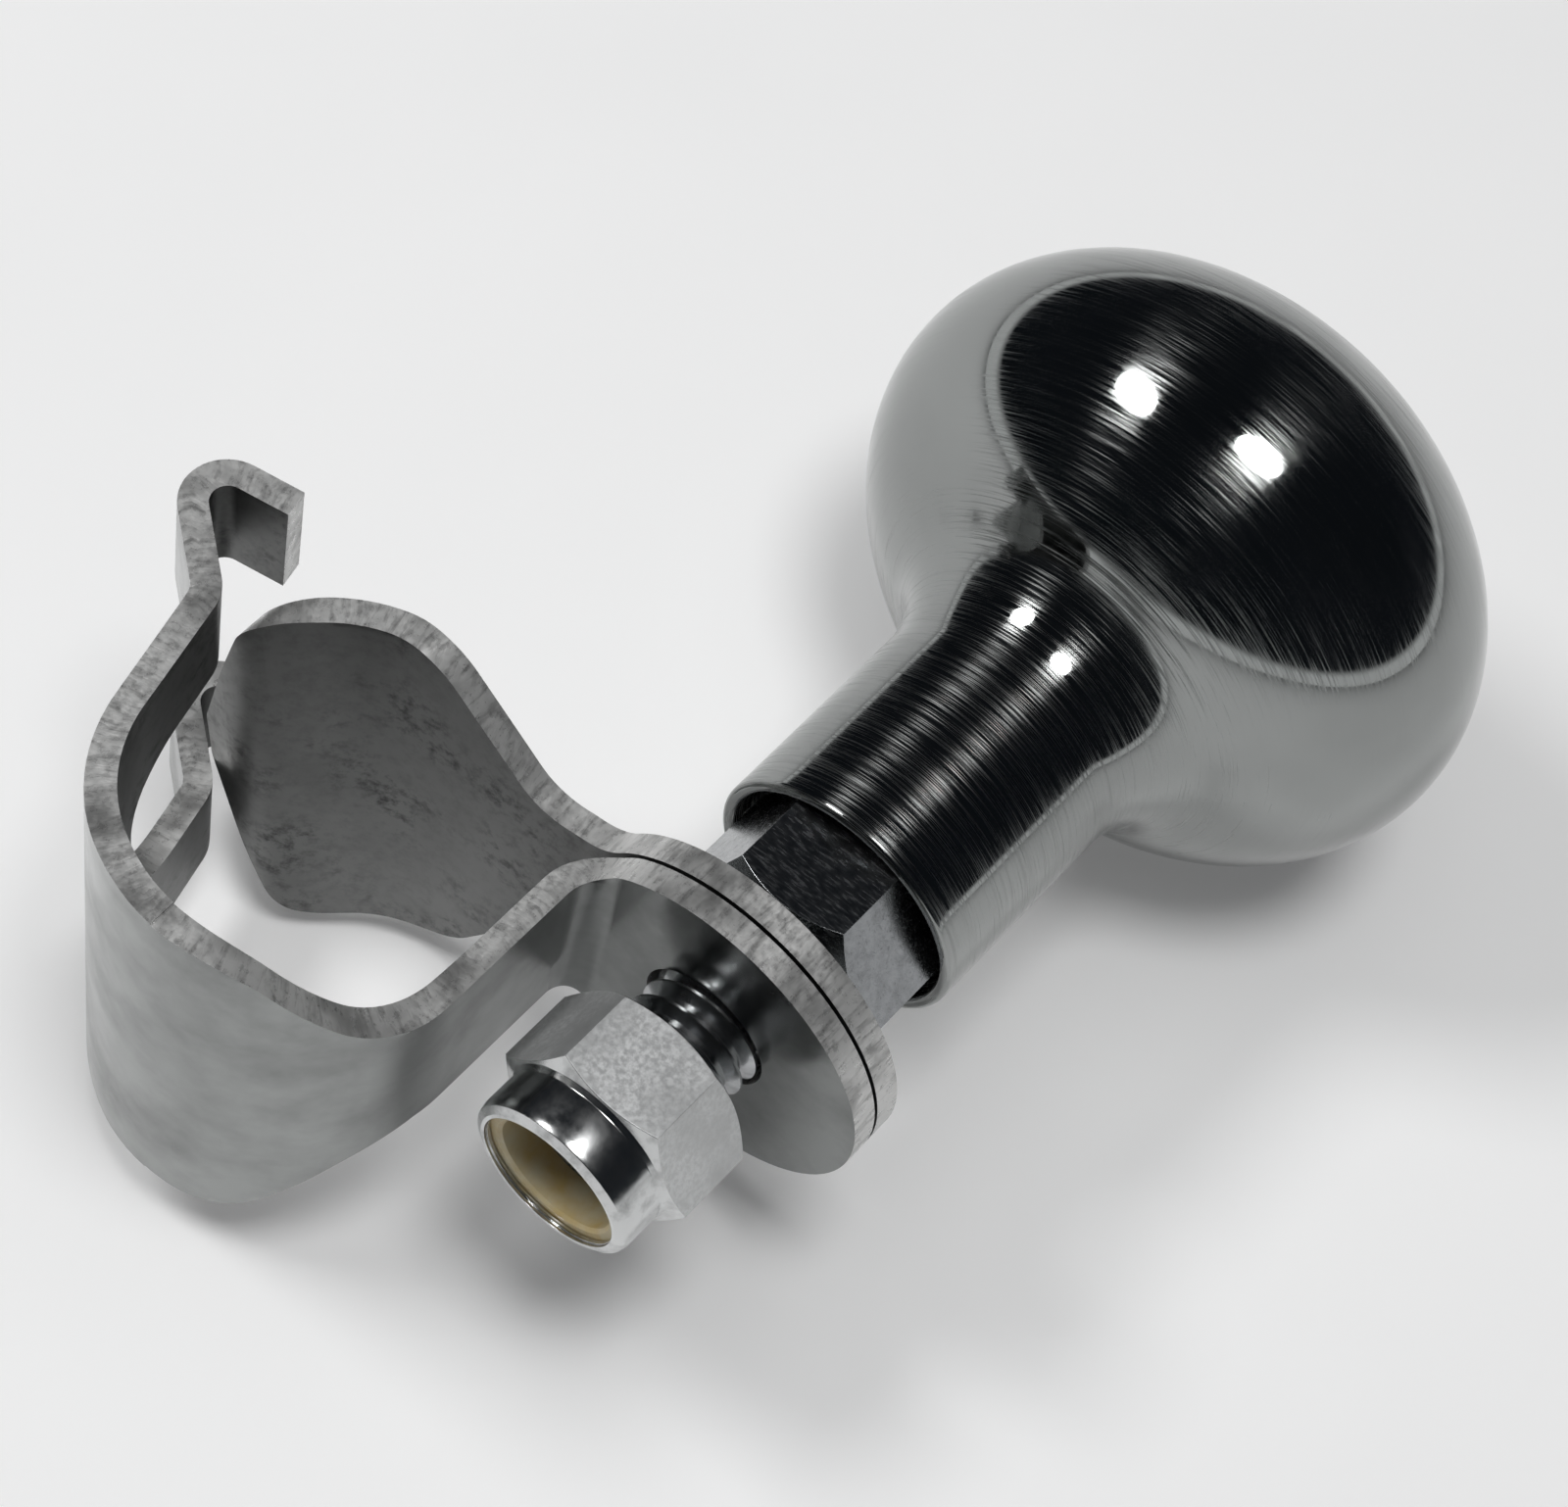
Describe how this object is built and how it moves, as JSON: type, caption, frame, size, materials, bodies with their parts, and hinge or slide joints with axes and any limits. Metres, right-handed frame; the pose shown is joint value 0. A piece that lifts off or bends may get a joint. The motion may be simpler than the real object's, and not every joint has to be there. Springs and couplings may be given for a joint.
{
  "type": "steering wheel knob",
  "caption": "Free-spinning polished steering wheel knob on a hooked two-strap rim clamp with a hexed spindle and lock nut.",
  "frame": {"origin": "on the axis of the wheel rim that the clamp grips, at mid width of the straps", "axes": "+Z along the rim, across the straps; +X from the lock nut towards the knob, parallel to the bolt and spindle axis, which lies at y = -25.5 mm, z = 0; +Y from the bolt towards the hooks"},
  "size_m": [0.0988, 0.0732, 0.0508],
  "materials": {
    "polished_stainless": "mirror polished",
    "strap_stainless": "satin polished outside, mill finish inside",
    "turned_stainless": "turned and polished",
    "nut_stainless": "bright, grainy flats",
    "bearing_steel": "ground",
    "bush_bronze": "sintered bronze",
    "nylon": "aged natural nylon"
  },
  "bodies": {
    "front_clamp": {"front_strap": "strap_stainless"},
    "rear_clamp": {"rear_strap": "strap_stainless"},
    "spindle": {"spindle": "turned_stainless", "thrust_washer": "bearing_steel", "retaining_washer": "bearing_steel", "circlip": "bearing_steel"},
    "knob": {"knob_shell": "polished_stainless", "bearing_housing": "bearing_steel", "outer_bush": "bush_bronze", "inner_bush": "bush_bronze"},
    "nut_carrier": {"nylon_ring": "nylon"},
    "nut": {"nut_body": "nut_stainless"}
  },
  "joints": [
    {"name": "rear_strap_open", "type": "hinge", "parent": "front_clamp", "child": "rear_clamp", "pos_m": [0.0094, 0.0155, 0], "axis": [0, 0, 1], "range_deg": [0, 1.2]},
    {"name": "spindle_slide", "type": "slide", "parent": "front_clamp", "child": "spindle", "axis": [1, 0, 0], "range_m": [-0.0016, 0]},
    {"name": "knob_spin", "type": "hinge", "parent": "spindle", "child": "knob", "pos_m": [0.042, -0.0255, 0], "axis": [1, 0, 0], "continuous": true},
    {"name": "nut_travel", "type": "slide", "parent": "spindle", "child": "nut_carrier", "axis": [1, 0, 0], "range_m": [-0.0024, 0.004]},
    {"name": "nut_turn", "type": "hinge", "parent": "nut_carrier", "child": "nut", "pos_m": [0.003, -0.0255, 0], "axis": [1, 0, 0], "range_deg": [-540, 900]}
  ],
  "couplings": [
    {"joint": "nut_travel", "follows": "nut_turn", "m_per_rad": 0.00025266}
  ]
}
